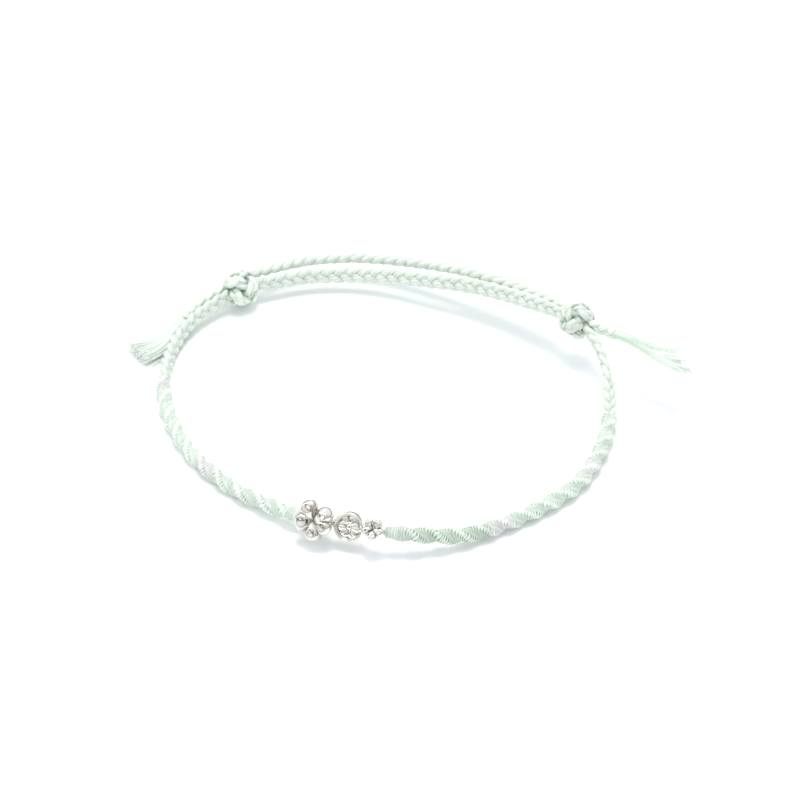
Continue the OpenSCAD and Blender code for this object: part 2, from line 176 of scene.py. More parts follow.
class Skins:
    """Gathers skins over stacks of rings into one mesh, with a depth and a shade for every point."""

    def __init__(self):
        self.points, self.quads, self.triangles = [], [], []
        self.quad_uv, self.triangle_uv, self.depth, self.shade = [], [], [], []
        self.count = 0

    def add(self, rings, along=None, girth=1.0, depth=0.0, shade=1.0, looped=False):
        """Adds a skin: rings is (rings, points, 3), turning to the left as seen from ahead.

        Quads join each ring to the next one, and a fan of triangles round a middle point closes each
        end, unless the last ring joins the first. UV is the place along and the place round, in mm.
        """
        m, n = rings.shape[:2]
        along = np.arange(m, dtype=float) if along is None else along
        j, i = np.meshgrid(np.arange(m if looped else m - 1), np.arange(n), indexing="ij")
        j, i = j.ravel(), i.ravel()
        k, nxt = (i + 1) % n, (j + 1) % m
        self.quads.append(self.count + np.stack([j * n + i, j * n + k, nxt * n + k, nxt * n + i], axis=1))
        u0 = along[j]
        u1 = np.where(nxt > j, along[nxt], 2 * along[-1] - along[-2])
        v0, v1 = i / n * girth, (i + 1) / n * girth
        self.quad_uv.append(np.stack([u0, v0, u0, v1, u1, v1, u1, v0], axis=1))
        points = rings.reshape(-1, 3)
        extra = 0
        if not looped:
            points = np.vstack([points, rings[0].mean(axis=0), rings[-1].mean(axis=0)])
            extra = 2
            c = np.arange(n)
            d = (c + 1) % n
            first = np.stack([np.full(n, m * n), d, c], axis=1)
            last = np.stack([np.full(n, m * n + 1), (m - 1) * n + c, (m - 1) * n + d], axis=1)
            self.triangles.append(self.count + np.vstack([first, last]))
            fan = np.stack([np.full(n, 0.5), c / n, (c + 1) / n], axis=1) * girth
            for u, order in ((along[0], (0, 2, 1)), (along[-1], (0, 1, 2))):
                self.triangle_uv.append(np.stack([np.full((n, 3), u), fan[:, order]], axis=2))
        self.points.append(points)
        self.count += len(points)
        for store, value in ((self.depth, depth), (self.shade, shade)):
            values = np.broadcast_to(value, (m, n)).ravel().astype(float)
            store.append(np.concatenate([values, np.full(extra, values[-1])]))

    def piece(self, name, material, node, slot_name):
        """Puts the skins into a mesh object, which rides on the only body and replaces its node."""
        points = (np.vstack(self.points) + MIDDLE) * MM
        quads = np.vstack(self.quads)
        triangles = np.vstack(self.triangles or [np.zeros((0, 3), int)])
        mesh = bpy.data.meshes.new(name)
        corners = np.concatenate([quads.ravel(), triangles.ravel()])
        starts = np.concatenate([np.arange(len(quads)) * 4, len(quads) * 4 + np.arange(len(triangles)) * 3])
        mesh.vertices.add(len(points))
        mesh.vertices.foreach_set("co", points.ravel())
        mesh.loops.add(len(corners))
        mesh.loops.foreach_set("vertex_index", corners)
        mesh.polygons.add(len(starts))
        mesh.polygons.foreach_set("loop_start", starts)
        mesh.update(calc_edges=True)
        uv = [a.ravel() for a in self.quad_uv + self.triangle_uv]
        mesh.uv_layers.new(name="UVMap").uv.foreach_set("vector", np.concatenate(uv))
        for key, values in (("depth", self.depth), ("shade", self.shade)):
            attribute = mesh.attributes.new(key, "FLOAT", "POINT")
            attribute.data.foreach_set("value", np.concatenate(values).astype(np.float32))
        mesh.polygons.foreach_set("use_smooth", np.full(len(starts), True))
        mesh.materials.append(material)
        mesh.validate()
        piece = bpy.data.objects.new(name, mesh)
        bpy.context.scene.collection.objects.link(piece)
        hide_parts(node)
        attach(piece, "root")


def around(n):
    """n angles, even round a ring."""
    return np.arange(n) * TAU / n


def swept(run, s, reaches):
    """Rings round a run: at length s the point at an angle is its reach along cos * side + sin * up."""
    _, side, up = run.axes(s)
    angle = around(reaches.shape[1])[None, :, None]
    return run.at(s)[:, None] + reaches[:, :, None] * (np.cos(angle) * side[:, None]
                                                      + np.sin(angle) * up[:, None])


def tube(path, toward, reaches, looped=False):
    """Rings square to a path of places. Angle 0 looks along toward, made square to the path."""
    if looped:
        ahead = unit(np.roll(path, -1, axis=0) - np.roll(path, 1, axis=0))
    else:
        ahead = unit(np.gradient(path, axis=0))
    first = unit(toward - (toward * ahead).sum(axis=1, keepdims=True) * ahead)
    second = np.cross(ahead, first)
    angle = around(reaches.shape[1])[None, :, None]
    return path[:, None] + reaches[:, :, None] * (np.cos(angle) * first[:, None]
                                                  + np.sin(angle) * second[:, None])


def dome(square):
    """Height of a half circle of radius one over a point, from the square of its distance: root of 1 - it."""
    return np.sqrt(np.clip(1 - square, 0, 1))


def bell(x, middle, width):
    """A bell curve: e to the power of minus ((x - middle) / width)^2."""
    return np.exp(-((x - middle) / width) ** 2)


def thread_round(turns):
    """Roundness of threads that lie side by side: 1 on a thread, 0 in the groove after each whole turn."""
    return dome((2 * (turns - np.floor(turns)) - 1) ** 2)


def seam(turns):
    """Darkness of threads side by side: 1 on each whole turn, fading softly to 0 on the thread."""
    return (0.5 + 0.5 * np.cos(TAU * turns)) ** 2


def wander(s, seed, size, wave):
    """A gentle seeded wave along s: five sines of lengths near wave, together about size high."""
    rng = np.random.default_rng(seed)
    waves = wave * rng.uniform(0.6, 1.8, 5)
    turns = rng.uniform(0, TAU, 5)
    return size * np.sin(s[..., None] * TAU / waves + turns).mean(axis=-1) * 1.6


# Materials


def feed(tree, node, **values):
    """Sets a node's inputs, named with _ for each space: a value is set, and another node's output linked."""
    for key, value in values.items():
        socket = node.inputs[key.replace("_", " ")]
        if isinstance(value, bpy.types.NodeSocket):
            tree.links.new(value, socket)
        else:
            socket.default_value = value


def add_node(tree, kind, settings=(), **values):
    """A shader node with its settings made and its inputs fed."""
    made = tree.nodes.new(kind)
    for key, value in settings:
        setattr(made, key, value)
    feed(tree, made, **values)
    return made


def colour_mix(tree, blend, share, a, b):
    """The colour a with a share of b blended in."""
    settings = (("data_type", "RGBA"), ("blend_type", blend))
    return add_node(tree, "ShaderNodeMix", settings, Factor=share, A=a, B=b).outputs["Result"]


def mesh_value(tree, name):
    """The value that a mesh holds under that name at each point."""
    return add_node(tree, "ShaderNodeAttribute", (("attribute_name", name),)).outputs["Fac"]


def noise(tree, place, scale, detail):
    """Even random mottling over the places, in spots of about one over the scale."""
    return add_node(tree, "ShaderNodeTexNoise", Vector=place, Scale=scale, Detail=detail).outputs["Fac"]


def relief(tree, height, strength, deep):
    """Directions of a surface with low relief, deep in metres."""
    return add_node(tree, "ShaderNodeBump", Height=height, Strength=strength, Distance=deep).outputs["Normal"]


def new_material(name):
    """An empty material, its node tree and its shader."""
    material = bpy.data.materials.new(name)
    material.use_nodes = True
    return material, material.node_tree, material.node_tree.nodes["Principled BSDF"]


def silk(colour):
    """Silk thread: pale on the crests and painted with shade in the grooves, with fine filaments along it.

    It is made when it is first asked for. The loose silk of the tassels has more sheen, and less relief
    because each of its threads is a shape of its own.
    """
    name = colour + "_thread"
    if name in bpy.data.materials:
        return bpy.data.materials[name]
    look = bpy.context.scene.bracelet_finish
    sheen, bumps, glow = look.silk_sheen, look.filament_bump, look.silk_glow
    if colour == "loose":
        sheen, bumps, glow = 0.6, 0.05, 0.1
    material, tree, shader = new_material(name)
    coords = add_node(tree, "ShaderNodeTexCoord")
    # The depth draws the colour toward the groove colour: painted shade in grooves, between strands and
    # inside knots
    thread = colour_mix(tree, "MIX", mesh_value(tree, "depth"), (*getattr(look, colour), 1),
                        (*getattr(look, colour + "_groove"), 1))
    # The shade multiplies the colour: random tints of the threads, with a painted lightening of the far
    # stretches and a painted darkening of the braids and knots
    thread = colour_mix(tree, "MULTIPLY", 1.0, thread, mesh_value(tree, "shade"))
    thread = colour_mix(tree, "MULTIPLY", 0.07, thread, noise(tree, coords.outputs["Object"], 260.0, 2.0))
    stretched = add_node(tree, "ShaderNodeMapping", Vector=coords.outputs["UV"], Scale=(1.2, 26.0, 1.0))
    filaments = noise(tree, stretched.outputs["Vector"], 1.0, 3.0)
    feed(tree, shader, Base_Color=thread, Roughness=look.silk_roughness, Specular_IOR_Level=0.5,
         Sheen_Weight=sheen, Sheen_Roughness=0.35, Subsurface_Weight=glow,
         Subsurface_Radius=(0.8, 1.0, 0.8), Subsurface_Scale=0.2 * MM,
         Normal=relief(tree, filaments, bumps, 0.008 * MM))
    return material


def silver():
    """Cast silver: bright and softly polished, with brown painted shade in the recesses, and a faint
    hand-finished grain.
    """
    if "cast_silver" in bpy.data.materials:
        return bpy.data.materials["cast_silver"]
    look = bpy.context.scene.bracelet_finish
    material, tree, shader = new_material("cast_silver")
    metal = colour_mix(tree, "MIX", mesh_value(tree, "depth"), (*look.silver, 1),
                       (*look.silver_recess, 1))
    dents = noise(tree, add_node(tree, "ShaderNodeTexCoord").outputs["Object"], 1100.0, 2.0)
    rough = add_node(tree, "ShaderNodeMapRange", Value=dents, To_Min=0.6 * look.silver_roughness,
                     To_Max=1.6 * look.silver_roughness)
    feed(tree, shader, Metallic=1.0, Base_Color=metal, Roughness=rough.outputs["Result"],
         Normal=relief(tree, dents, 0.35, 0.06 * MM))
    return material


# Settings


def colour_setting(name, description, default):
    """A setting for a colour."""
    return FloatVectorProperty(name=name, description=description, subtype="COLOR", size=3, default=default,
                               min=0, max=1)


def share_setting(name, description, default):
    """A setting from 0 to 1."""
    return FloatProperty(name=name, description=description, subtype="FACTOR", default=default, min=0, max=1)


def length_setting(name, description, millimetres):
    """A setting for a length, whose default is in millimetres."""
    return FloatProperty(name=name, description=description, unit="LENGTH", default=millimetres * MM,
                         precision=5)


class BraceletFinish(bpy.types.PropertyGroup):
    """Colours and gloss of the silk and the silver."""

    mint: colour_setting("Mint silk", "Colour of the silk on its crests", (0.87, 0.93, 0.84))
    # Painted shade: the colour the silk darkens toward in its grooves, between its strands and inside the
    # knots
    mint_groove: colour_setting("Mint grooves", "Colour of the silk deep between its threads",
                                (0.20, 0.34, 0.21))
    loose: colour_setting("Loose silk", "Colour of the loose threads of the tassels", (0.91, 0.97, 0.90))
    # Painted shade between the loose threads; the loose silk also turns toward this colour near a tassel's
    # root
    loose_groove: colour_setting("Loose silk grooves", "Colour deep between the loose threads",
                                 (0.62, 0.80, 0.62))
    blush: colour_setting("Blush silk", "Colour of the pink bands on their crests", (0.93, 0.945, 0.91))
    # Painted shade in the grooves of the blush bands
    blush_groove: colour_setting("Blush grooves", "Colour of the pink bands between their threads",
                                 (0.52, 0.50, 0.48))
    silver: colour_setting("Silver", "Colour of the polished silver", (0.92, 0.90, 0.85))
    # Painted shade: the brown that the silver darkens toward in its recesses
    silver_recess: colour_setting("Silver recesses", "Colour of the silver where polish doesn't reach",
                                  (0.14, 0.10, 0.028))
    silk_roughness: share_setting("Silk roughness", "Roughness of the silk", 0.42)
    silk_sheen: share_setting("Silk sheen", "Strength of the silk's soft sheen", 0.15)
    silk_glow: share_setting("Silk glow", "Share of the light that passes into the silk", 0.3)
    filament_bump: share_setting("Filaments", "Strength of the finest filaments in the silk", 0.5)
    silver_roughness: share_setting("Silver roughness", "Roughness of the silver", 0.16)


class KnottedCordSettings(bpy.types.PropertyGroup):
    """Sizes of the knotted cord: two lobes of wrapped thread that wind round each other."""

    lobe_offset: length_setting("Lobe offset", "Distance of each lobe from the cord's middle", 0.36)
    lobe_r: length_setting("Lobe radius", "Radius of each lobe", 0.7)
    plain_r: length_setting("End radius", "Radius of the plainly wrapped ends", 0.72)
    left_twist: length_setting("Left twist", "Length of one full twist on the left", 7.4)
    right_twist: length_setting("Right twist", "Length of one full twist on the right", 6.4)
    thread_pitch: length_setting("Thread pitch", "Distance between two loops of thread along the cord", 0.31)
    groove: length_setting("Groove depth", "Depth of the grooves between loops", 0.13)
    pit: length_setting("Pit depth", "Depth of the pits where the loops dive under", 0.15)


class BraidSettings(bpy.types.PropertyGroup):
    """Sizes of the three-strand braids."""

    strand_r: length_setting("Strand radius", "Radius of each strand", 0.45)
    side: length_setting("Side swing", "How far a strand swings to the sides", 0.55)
    over: length_setting("Depth swing", "How far a strand swings over and under", 0.22)
    pitch: length_setting("Pitch", "Length in which a strand goes across and comes back", 5.1)
    threads: IntProperty(
        name="Threads", description="Threads that are laid into each strand", default=6, min=3, max=16)
    lay: length_setting("Lay", "Distance along a strand from one thread to the next", 0.58)
    groove: length_setting("Groove depth", "Depth of the grooves between threads", 0.075)


class KnotSettings(bpy.types.PropertyGroup):
    """Sizes of the sliding knots and the tassels."""

    left_d: length_setting("Left knot", "Diameter of the left knot", 5.4)
    right_d: length_setting("Right knot", "Diameter of the right knot", 5.2)
    strap_w: length_setting("Strap width", "Width of the strap of threads woven round a knot", 1.75)
    left_tassel_w: length_setting("Left tassel", "Width of the left tassel at its cut end", 4.0)
    right_tassel_w: length_setting("Right tassel", "Width of the right tassel at its tips", 5.0)
    fibres: IntProperty(
        name="Fibres", description="Loose threads in each full lock of a tassel", default=52, min=8, max=90)


class BeadSettings(bpy.types.PropertyGroup):
    """Sizes of the three silver beads."""

    petal_l: length_setting("Petal length", "Length of a flower petal from the middle", 2.7)
    petal_r: length_setting("Petal radius", "Radius of a flower petal at its fullest", 0.94)
    petal_root_r: length_setting("Petal root", "Radius of a flower petal at its root", 0.5)
    medal_d: length_setting("Medallion", "Diameter of the medallion", 3.8)
    medal_t: length_setting("Medallion thickness", "Thickness of the medallion at its rim", 1.6)
    star_l: length_setting("Star point", "Length of a point of the star", 1.5)
    star_r: length_setting("Star point radius", "Radius of a point of the star near its tip", 0.5)
    star_root_r: length_setting("Star root radius", "Radius of a point of the star at its root", 0.38)
    bore_r: length_setting("Bore radius", "Radius of the beads' bores", 0.4)


class StageSettings(bpy.types.PropertyGroup):
    """Floor and light."""

    overhead: FloatProperty(
        name="Overhead light", description="Power of the soft light overhead", default=1.2, min=0,
        unit="POWER")
    surround: FloatProperty(
        name="Surround", description="Brightness of the pale room", default=1.02, min=0)
    floor: colour_setting("Floor", "Colour of the floor", (0.93, 0.94, 0.94))


# Knotted cord

# Name, start and end along the route, silk and shade of each stretch, on the left and on the right. The shade
# is painted light: the far stretches and bands are made paler, as if lit more strongly.
LEFT_STRETCHES = [
    ("blush_band_left_back", LEFT_BACK_S, 75.4, "blush", 1.0),
    ("knotted_left_back", 75.4, 91.6, "mint", 1.11),
    ("blush_band_left_front", 91.6, 95.2, "blush", 1.0),
    ("knotted_left_front", 95.2, LEFT_WRAP_END_S, "mint", 1.08)]
RIGHT_STRETCHES = [
    ("knotted_right_front", RIGHT_WRAP_START_S, 134.6, "mint", 1.0),
    ("blush_band_right_front", 134.6, 138.1, "blush", 1.0),
    ("knotted_right_back", 138.1, 150.8, "mint", 1.08),
    ("blush_band_right_back", 150.8, 154.2, "blush", 1.03),
    ("knotted_right_end", 154.2, RIGHT_END_S, "mint", 1.09)]
# How much faster the painted shade in the grooves fades than the crests pale, in a stretch painted paler as
# if lit more strongly
GROOVE_PALING = 2.6
LEFT_PHASE = -52
RIGHT_PHASE = -16
CORD_SIDES = 56
CORD_GIRTH = 4.6
RINGS_PER_LOOP = 7
# Lengths at a wrapped end: in which the lobes grow, of the plain loops, and in which ridges then grow
FADE_L = 2.4
PLAIN_L = 2.0
RIDGE_FADE_L = 1.2
# From a crest to the edge of its ridge and on to the full valley, as angles in radians
RIDGE_EDGE = 0.55
VALLEY_FADE = 0.35
# How far a loop's ends are shifted along the cord, one each way, and how much of its groove a valley
# loses
LOOP_SLANT = 0.265
VALLEY_SMOOTH = 0.8


def circle_reach(centre_x, centre_y, r, angle):
    """How far from the middle a ray at an angle leaves a circle.

    It is along + root of r^2 - centre^2 + along^2, where along is the centre's place along the ray, and 0
    where the ray misses the circle.
    """
    along = centre_x * np.cos(angle) + centre_y * np.sin(angle)
    inside = r**2 - centre_x**2 - centre_y**2 + along**2
    return np.where(inside > 0, along + np.sqrt(np.maximum(inside, 0)), 0)


def knotted_stretch(start, end, cord_from, cord_to, twist, phase, cord, seed):
    """One stretch of knotted cord, a spiral of half hitches.

    The reach is the further edge of two circles that wind round the middle once in each twist. A ridge of
    small loops runs along each crest: they lie square to the ridge, with a groove after each one and a
    pit at both of its ends, and the smooth valley between two ridges has shallow slanting threads. On
    the plainly wrapped ends the loops go evenly all round. Aside is the angle from the nearest crest.
    The colour's depth, painted shade toward the groove colour, is 0.03, plus 0.42 in a groove, 0.85 at a
    loop's end,
    0.39 in a valley and 0.18 on the plain loops.
    """
    pitch = cord.thread_pitch / MM
    count = int((end - start) / pitch * RINGS_PER_LOOP)
    s = np.linspace(start + GAP / 2, end - GAP / 2, count)[:, None]
    angle = around(CORD_SIDES)[None, :]
    from_end = np.minimum(s - cord_from, cord_to - s)
    grown = np.clip(from_end / FADE_L, 0, 1)
    turn = TAU * s / twist + math.radians(phase)
    x, y = cord.lobe_offset / MM * grown * np.cos(turn), cord.lobe_offset / MM * grown * np.sin(turn)
    r = cord.lobe_r / MM * grown + cord.plain_r / MM * (1 - grown)
    reach = np.maximum(circle_reach(x, y, r, angle), circle_reach(-x, -y, r, angle))
    aside = (angle - turn + math.pi / 2) % math.pi - math.pi / 2
    laid = np.clip((from_end - PLAIN_L) / RIDGE_FADE_L, 0, 1)
    valley = np.clip((np.abs(aside) - RIDGE_EDGE) / VALLEY_FADE, 0, 1) * laid
    turns = (s + wander(s, seed, 0.08, 1.6) + LOOP_SLANT * np.sin(2 * aside) * laid) / pitch
    hollow = 1 - thread_round(turns)
    grooves = hollow * (1 - VALLEY_SMOOTH * valley)
    pits = bell(np.abs(aside), RIDGE_EDGE + 0.01, 0.2) * hollow * laid
    strength = 0.85 + wander(s + angle * 0.3, seed + 1, 0.5, 0.9)
    reach = reach - strength * (cord.groove / MM * grooves + cord.pit / MM * pits)
    loop = np.floor(turns).astype(int)
    loop = loop - loop.min()
    tint, deep = np.random.default_rng(seed + 2).uniform((0.85, 0.15), (0.97, 1.25), (loop.max() + 1, 2)).T
    dark = seam(turns) * (1 - VALLEY_SMOOTH * valley) * deep[loop]
    ends = bell(np.abs(aside), RIDGE_EDGE + 0.05, 0.26) * seam(turns) * laid
    depth = np.clip(0.42 * dark + 0.85 * ends + 0.39 * valley + 0.18 * (1 - laid) + 0.03, 0, 1)
    return swept(MAIN, s[:, 0], reach), s[:, 0], depth, tint[loop]


class BRACELET_OT_knotted_cord(bpy.types.Operator):
    """Make the knotted cord with its four blush bands."""

    bl_idname = "bracelet.knotted_cord"
    bl_label = "Knotted cord"

    def execute(self, context):
        cord = context.scene.knotted_cord
        sides = (
            (LEFT_STRETCHES, LEFT_BACK_S - FADE_L, LEFT_WRAP_END_S, cord.left_twist / MM, LEFT_PHASE),
            (RIGHT_STRETCHES, RIGHT_WRAP_START_S, RIGHT_END_S + FADE_L, cord.right_twist / MM, RIGHT_PHASE))
        for stretches, cord_from, cord_to, twist, phase in sides:
            for place, (node, start, end, colour, shade) in enumerate(stretches):
                rings, along, depth, tint = knotted_stretch(start, end, cord_from, cord_to, twist, phase,
                                                            cord, 10 + 5 * place)
                skins = Skins()
                # A stretch's shade paints it paler, as if lit more strongly, and thins the painted shade in
                # its grooves
                skins.add(rings, along, CORD_GIRTH, depth * (1 - GROOVE_PALING * (shade - 1)), shade * tint)
                skins.piece(node + "_threads", silk(colour), node, colour + "_silk")
        return {"FINISHED"}


# Braids

# Side, start and end, how fast the painted shade deepens toward the middle, shade and seed of each braid. The
# shade is a painted darkening of the whole braid, less on the right one.
BRAIDS = (
    ("left", BRAID_END, LEFT_BACK_S - GAP / 2, 0.4, 0.88, 100),
    ("right", RIGHT_END_S + GAP / 2, MAIN_L - BRAID_END, 0.3, 0.91, 130))
# Side, route and seed of each tail braid
TAIL_BRAIDS = (("left", LEFT_TAIL, 160), ("right", RIGHT_TAIL, 170))
# How fast the painted shade deepens toward a tail braid's middle
TAIL_DEEP = 0.3
# How closely a braid's strands are packed, and the distance between its rings
BRAID_PACKED = 1.08
BRAID_STEP = 0.13
STRAND_SIDES = 32
STRAND_GIRTH = 2.8
# How much further than its radius a strand reaches, and the distance from the plait's middle near which
# the painted shade between its strands has faded
STRAND_SWELL = 1.06
PLAIT_REACH = 0.72
STRAND_TINTS = 11


def plait(skins, s, middle, flat, face, turn, lay, share, packed, deep, shade, braid, seed, looped=False):
    """Three plaited strands along a path of middles.

    Strand k is at share * (side sin t, over sin 2t) along flat and face, where t = turn + 2 pi k / 3. Its
    section is a circle with a groove between each pair of its threads, which wind round it by lay. The more
    packed the plait is, the fuller its strands are and the less they swing. Deep is how fast the colour
    darkens toward its middle, as painted shade between the strands, and shade multiplies that of its threads.
    """
    angle = around(STRAND_SIDES)[None, :]
    for k in range(3):
        t = turn + TAU * k / 3
        across = share * braid.side / packed / MM * np.sin(t)
        over = share * braid.over / packed / MM * np.sin(2 * t)
        path = middle + across[:, None] * flat + over[:, None] * face
        turns = braid.threads * angle / TAU + lay[:, None] + 0.37 * k
        r = braid.strand_r / MM * share * packed
        if not looped:
            r = r * (1 + wander(s, seed + k, 0.04, 3.0))
        reach = STRAND_SWELL * r[:, None] - braid.groove / MM * (1 - thread_round(turns))
        rings = tube(path, flat, reach, looped)
        out = np.linalg.norm(rings - middle[:, None], axis=2) / (share[:, None] * PLAIT_REACH)
        # Painted shade in the grooves between threads and toward the plait's middle
        depth = np.clip(0.25 * seam(turns) + deep * (1.05 - out), 0, 1)
        tint = shade * np.random.default_rng(seed + 10 + k).uniform(0.94, 1.03, STRAND_TINTS)
        skins.add(rings, s, STRAND_GIRTH, depth, tint[np.floor(turns).astype(int) % STRAND_TINTS], looped)


def braid_piece(node, run, start, end, roll, fullness, deep, shade, seed):
    """A braid along a run, its flat face rolled from level by a table of degrees."""
    braid = bpy.context.scene.bracelet_braid
    s = np.linspace(start, end, int((end - start) / BRAID_STEP))
    _, side, up = run.axes(s)
    roll = np.radians(cord_table(roll, s))[:, None]
    flat = np.cos(roll) * side + np.sin(roll) * up
    face = np.cos(roll) * up - np.sin(roll) * side
    skins = Skins()
    plait(skins, s, run.at(s), flat, face, TAU * s / (braid.pitch / MM), s / (braid.lay / MM),
          cord_table(fullness, s), BRAID_PACKED, deep, shade, braid, seed)
    skins.piece(node + "_strands", silk("mint"), node, "mint_silk")


class BRACELET_OT_braids(bpy.types.Operator):
    """Make the two long braids at the back."""

    bl_idname = "bracelet.braids"
    bl_label = "Braids"

    def execute(self, context):
        for side, start, end, deep, shade, seed in BRAIDS:
            braid_piece("braid_" + side, MAIN, start, end, ROLL, FULLNESS, deep, shade, seed)
        return {"FINISHED"}


class BRACELET_OT_tail_braids(bpy.types.Operator):
    """Make the short braids that leave the knots."""

    bl_idname = "bracelet.tail_braids"
    bl_label = "Tail braids"

    def execute(self, context):
        for side, points, seed in TAIL_BRAIDS:
            run = Run(points)
            braid_piece("tail_braid_" + side, run, BRAID_END, run.length - GAP, TAIL_ROLL, TAIL_FULLNESS,
                        TAIL_DEEP, 1.0, seed)
        return {"FINISHED"}


# Sliding knots

# Side, place along the route, shift to the side and up in mm, turn in degrees, shade and seed. The shade is a
# painted darkening of the whole knot, stronger on the right one.
KNOTS = (("left", LEFT_KNOT_S, -0.1, 0.1, -42, 0.95, 200), ("right", RIGHT_KNOT_S, 0.1, 0.0, 26, 0.83, 210))
KNOT_ROUNDS = 3
KNOT_BIGHTS = 4
KNOT_SWING = math.radians(50)
KNOT_LIFT = 0.36
KNOT_PACKED = 1.3
KNOT_PITCHES = 11
KNOT_LAYS = 60
# Painted shade: the colour darkens from this far below the ball's surface, by this much for each millimetre
SHADE_FROM = 0.25
SHADE_PER_MM = 1.9
# The core ball, painted dark as the shade inside the knot, lies this far below the surface
CORE_SUNK = 0.95


def knot_skins(skins, d, s, across, lift, turned_by, shade, knot, braid, seed):
    """A sliding knot: the plaited cord goes round a ball as a closed plait of one strap.

    The strap goes round three times while its latitude swings as sin t, with t = 4/3 of the azimuth less
    its turn, and it passes over and under itself as sin 2t. It is itself a plait of three strands.
    """
    ahead, side, up = (v[0] for v in MAIN.axes(np.array([s])))
    middle = MAIN.at(np.array([s]))[0] + across * side + lift * up

    def outward(lat, az):
        """Directions from the knot's middle at latitudes above its own equator, square to the cord."""
        lat, az = lat[..., None], az[..., None]
        return np.cos(lat) * (np.cos(az) * side + np.sin(az) * up) + np.sin(lat) * ahead

    az = np.linspace(0, KNOT_ROUNDS * TAU, 380, endpoint=False)
    t = KNOT_BIGHTS * (az - math.radians(turned_by)) / KNOT_ROUNDS
    share = knot.strap_w / 2 / (braid.side + braid.strand_r)
    half_t = share * (braid.over / KNOT_PACKED + braid.strand_r * KNOT_PACKED) / MM
    radius = d / 2 - half_t - KNOT_LIFT * (1 - np.sin(2 * t))
    out = outward(KNOT_SWING * np.sin(t), az)
    path = middle + radius[:, None] * out
    along = unit(np.roll(path, -1, axis=0) - np.roll(path, 1, axis=0))
    flat = unit(np.cross(out, along))
    plait(skins, az * d / 2, path, flat, np.cross(along, flat), KNOT_PITCHES * az / KNOT_ROUNDS,
          KNOT_LAYS * az / (KNOT_ROUNDS * TAU), np.full(len(az), share), KNOT_PACKED, 1.0, shade, braid,
          seed, looped=True)
    # Painted shade: the straps darken the deeper they lie inside the ball
    for k, points in enumerate(skins.points):
        sunk = d / 2 - np.linalg.norm(points - middle, axis=1)
        skins.depth[k] = np.clip(skins.depth[k] + SHADE_PER_MM * (sunk - SHADE_FROM), 0, 1)
    # A dark core ball, in the full groove colour, stands for the shade seen through the gaps between the
    # straps
    core_r = d / 2 - CORE_SUNK
    lats = np.radians(np.linspace(-84, 84, 22))
    ball = middle + core_r * outward(lats[:, None], around(32)[None, :])
    skins.add(ball, lats * core_r, 2 * core_r, 1.0, 0.9)


class BRACELET_OT_sliding_knots(bpy.types.Operator):
    """Make the two sliding knots."""

    bl_idname = "bracelet.sliding_knots"
    bl_label = "Sliding knots"

    def execute(self, context):
        knot, braid = context.scene.bracelet_knot, context.scene.bracelet_braid
        for name, s, across, lift, turned_by, shade, seed in KNOTS:
            skins = Skins()
            d = getattr(knot, name + "_d") / MM
            knot_skins(skins, d, s, across, lift, turned_by, shade, knot, braid, seed)
            skins.piece("knot_" + name + "_straps", silk("mint"), "knot_" + name, "mint_silk")
        return {"FINISHED"}


# Tassels

# Place across the tips, where 1 is half the width, lift of the tip in mm, share of the length, and how
# full the lock is
LEFT_LOCKS = [
    (-0.95, 0.1, 1, 1), (-0.55, 0.5, 1, 1), (-0.15, -0.2, 0.99, 1), (0.2, 0.5, 0.99, 1), (0.58, 0, 0.98, 1),
    (0.95, 0.2, 0.97, 1), (1.1, -0.1, 0.93, 0.3), (0.7, -0.2, 0.98, 0.3)]
RIGHT_LOCKS = [
    (-0.95, -1.1, 0.96, 0.5), (-0.7, -0.7, 1, 1), (-0.4, -0.3, 0.88, 1), (0.0, 0.3, 0.97, 0.3),
    (0.35, 0.6, 0.93, 0.26), (0.7, 0.7, 0.88, 0.2), (1.0, 1.0, 0.97, 0.24), (1.3, 1.2, 0.93, 0.2)]
# Side, route, locks, power of t by which they spread, radius of the head, of a lock at its root and at its
# tip, depth of the colour at the root, radius of a loose thread, and seed
TASSELS = (("left", LEFT_TASSEL, LEFT_LOCKS, 1.2, 0.66, 0.42, 0.54, 0.4, 0.045, 300),
           ("right", RIGHT_TASSEL, RIGHT_LOCKS, 3, 0.54, 0.34, 0.26, 1.5, 0.03, 310))
# A lock leaves the head this far to the side, and its threads stay this far above the floor
LOCK_START = 0.3
FLOOR_GAP = 0.03
# A lock that is fuller than this has a body, with so many threads and so many tints
BODY_FULL = 0.3
BODY_THREADS = 17
BODY_TINTS = 19
# How fast the colour pales from the root to the tip
ROOT_FADE = 2.8


def lock_path(run, s, width, place, lift, fan):
    """The middle of a lock: place * (0.3 + (width / 2 - 0.3) t^fan) to the side and lift * t^fan up."""
    _, side, up = run.axes(s)
    spread = (s / run.length) ** fan
    to_side = LOCK_START * place + (width / 2 - LOCK_START) * place * spread
    return run.at(s) + to_side[:, None] * side + (lift * spread)[:, None] * up, side, up


